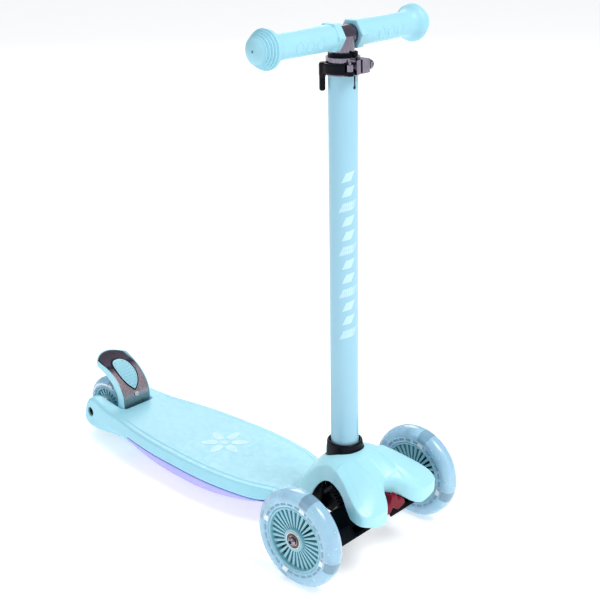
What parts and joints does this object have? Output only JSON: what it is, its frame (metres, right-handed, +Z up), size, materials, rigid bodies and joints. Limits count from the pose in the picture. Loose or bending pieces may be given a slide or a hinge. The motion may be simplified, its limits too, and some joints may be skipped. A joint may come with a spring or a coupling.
{
  "type": "kick scooter",
  "caption": "Child's lean-to-steer kick scooter with a wide front axle, one rear wheel, a rear fender brake and a height-adjustable T-bar with a quick-release clamp.",
  "frame": {"origin": "on the ground, midway between the rider's left and right and midway along the overall length", "axes": "+Z up, -Y forward in the direction of travel, +X to the rider's left"},
  "size_m": [0.2756, 0.5736, 0.6353],
  "materials": {
    "body_plastic": "glossy pale cyan moulding, fine grain",
    "belly_plastic": "satin lavender moulding",
    "column_paint": "satin pale blue powder coat",
    "chrome": "polished",
    "steel": "zinc plated",
    "black_plastic": "satin black, glass-filled",
    "red_plastic": "glossy dark red",
    "tyre": "cast translucent pale blue polyurethane",
    "hub_plastic": "glossy cyan core",
    "light": "clear light module",
    "bush": "natural acetal",
    "plate": "brushed and lacquered",
    "brake_pad": "dense friction rubber",
    "grip_pad": "ribbed soft rubber",
    "grip_rubber": "soft pale cyan rubber",
    "bar_metal": "polished"
  },
  "bodies": {
    "frame": {"deck": "body_plastic", "deck_belly": "belly_plastic", "belly_screws": "steel", "front_cover": "body_plastic", "cover_screws": "steel", "head_block": "black_plastic", "head_bolts": "steel", "column": "column_paint", "column_collar": "black_plastic", "column_bush": "black_plastic", "clamp_band": "chrome", "clamp_bolt": "chrome", "clamp_nut": "chrome", "clamp_washers": "chrome", "lever_pin": "chrome", "latch_spring": "steel", "kingpin": "steel", "kingpin_nut": "steel", "kingpin_washers": "steel", "steering_springs": "steel", "rear_axle_bolt": "steel", "rear_axle_nut": "steel", "rear_axle_sleeves": "black_plastic", "brake_hinge_pin": "steel", "brake_spring": "steel"},
    "lever": {"clamp_lever": "black_plastic"},
    "latch": {"release_button": "red_plastic", "latch_pin": "steel"},
    "truck": {"truck_beam": "black_plastic", "truck_bushings": "bush", "front_axle_bolts": "chrome", "front_axle_washers": "chrome"},
    "left_wheel": {"left_tyre": "tyre", "left_hub": "hub_plastic", "left_bearings": "steel", "left_spacer": "steel", "left_lights": "light"},
    "right_wheel": {"right_tyre": "tyre", "right_hub": "hub_plastic", "right_bearings": "steel", "right_spacer": "steel", "right_lights": "light"},
    "rear_wheel": {"rear_tyre": "tyre", "rear_hub": "hub_plastic", "rear_bearings": "steel", "rear_spacer": "steel", "rear_lights": "light"},
    "brake": {"brake_fender": "body_plastic", "brake_plate": "plate", "brake_grip_pad": "grip_pad", "brake_shoe": "brake_pad", "brake_screw": "steel"},
    "handlebar": {"stem_tube": "chrome", "stem_plug": "black_plastic", "crossbar": "bar_metal", "left_grip": "grip_rubber", "right_grip": "grip_rubber"}
  },
  "joints": [
    {"name": "steer", "type": "hinge", "parent": "frame", "child": "truck", "pos_m": [0, -0.2202, 0.054], "axis": [0, -0.7071, 0.7071], "range_deg": [-12, 12], "stiffness_Nm_per_rad": 30, "deforming": ["steering_springs"]},
    {"name": "left_wheel_spin", "type": "hinge", "parent": "truck", "child": "left_wheel", "pos_m": [0.1085, -0.2202, 0.06], "axis": [1, 0, 0], "continuous": true},
    {"name": "right_wheel_spin", "type": "hinge", "parent": "truck", "child": "right_wheel", "pos_m": [-0.1085, -0.2202, 0.06], "axis": [1, 0, 0], "continuous": true},
    {"name": "rear_wheel_spin", "type": "hinge", "parent": "frame", "child": "rear_wheel", "pos_m": [0, 0.2468, 0.04], "axis": [1, 0, 0], "continuous": true},
    {"name": "brake_press", "type": "hinge", "parent": "frame", "child": "brake", "pos_m": [0, 0.1963, 0.047], "axis": [-1, 0, 0], "range_deg": [0, 12], "stiffness_Nm_per_rad": 1.5, "springref_deg": -14.32, "deforming": ["brake_spring"]},
    {"name": "bar_height", "type": "slide", "parent": "frame", "child": "handlebar", "axis": [0, 0.0229, 0.9997], "range_m": [0, 0.22]},
    {"name": "lever_swing", "type": "hinge", "parent": "frame", "child": "lever", "pos_m": [-0.0135, -0.20477, 0.58334], "axis": [0, 0.0229, 0.9997], "range_deg": [0, 150]},
    {"name": "release_press", "type": "slide", "parent": "frame", "child": "latch", "axis": [0, 0.9997, -0.0229], "range_m": [0, 0.004], "stiffness_N_per_m": 600, "springref_m": -0.004, "deforming": ["latch_spring"]}
  ]
}
